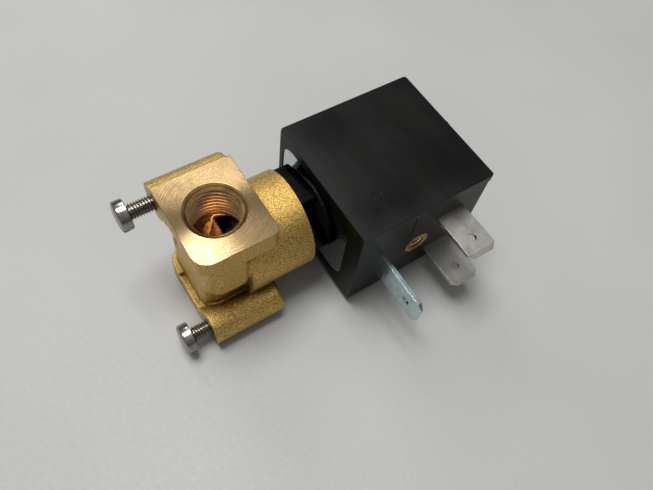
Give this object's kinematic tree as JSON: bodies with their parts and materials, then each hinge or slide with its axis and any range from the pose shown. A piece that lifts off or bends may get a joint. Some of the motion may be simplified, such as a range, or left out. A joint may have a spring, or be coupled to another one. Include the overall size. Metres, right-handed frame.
{
  "type": "solenoid valve",
  "caption": "Brass direct-acting solenoid valve with opposed threaded ports, screw lugs and a boxed coil with blade terminals; a sprung plunger opens and shuts the flow.",
  "frame": {"origin": "middle of the lower port's mouth, on the machined face of the body", "axes": "+X along the valve axis from the body to the coil nut, +Z along the port axis to the upper port, -Y towards the blade terminals"},
  "size_m": [0.0667, 0.0413, 0.026],
  "materials": {
    "forged_brass": "forged and sand-blasted, port faces machined",
    "turned_brass": "turned, bright",
    "screw_steel": "dark plated steel",
    "stainless": "drawn stainless steel",
    "black_union": "glossy black plating",
    "soft_iron": "turned magnetic stainless steel",
    "copper": "copper",
    "rubber": "matt nitrile rubber",
    "spring_steel": "spring steel",
    "zinc_steel": "bluish zinc plating",
    "coil_plastic": "satin black moulding, fine grain at the edges",
    "bobbin_plastic": "natural glass-filled nylon",
    "tinned_blade": "tinned, lightly brushed"
  },
  "bodies": {
    "body": {"valve_body": "forged_brass", "armature_tube": "stainless", "union_hex": "black_union", "fixed_core": "soft_iron", "shading_ring": "copper", "body_o_ring": "rubber", "coil_o_ring": "rubber", "return_spring": "spring_steel"},
    "moving_iron": {"plunger": "soft_iron", "plunger_seal": "rubber"},
    "screw_upper": {"mounting_screw_upper": "screw_steel"},
    "screw_lower": {"mounting_screw_lower": "screw_steel"},
    "coil": {"coil_housing": "coil_plastic", "yoke_plate": "zinc_steel", "yoke_frame": "zinc_steel", "coil_bobbin": "bobbin_plastic", "coil_winding": "copper", "power_terminal_upper": "tinned_blade", "power_terminal_lower": "tinned_blade", "ground_terminal": "zinc_steel", "connector_insert": "turned_brass", "spring_washer": "spring_steel"},
    "nut": {"coil_nut": "zinc_steel"}
  },
  "joints": [
    {"name": "plunger_stroke", "type": "slide", "parent": "body", "child": "moving_iron", "axis": [1, 0, 0], "range_m": [0, 0.0012], "stiffness_N_per_m": 250, "springref_m": -0.004, "deforming": ["return_spring"]},
    {"name": "screw_upper_drive", "type": "slide", "parent": "body", "child": "screw_upper", "axis": [1, 0, 0], "range_m": [-0.006, 0.0044]},
    {"name": "screw_lower_drive", "type": "slide", "parent": "body", "child": "screw_lower", "axis": [1, 0, 0], "range_m": [-0.006, 0.0033]},
    {"name": "coil_turn", "type": "hinge", "parent": "body", "child": "coil", "pos_m": [0.0331, 0, 0.013], "axis": [1, 0, 0], "range_deg": [-180, 180]},
    {"name": "nut_unscrew", "type": "slide", "parent": "body", "child": "nut", "axis": [1, 0, 0], "range_m": [0, 0.004]}
  ]
}
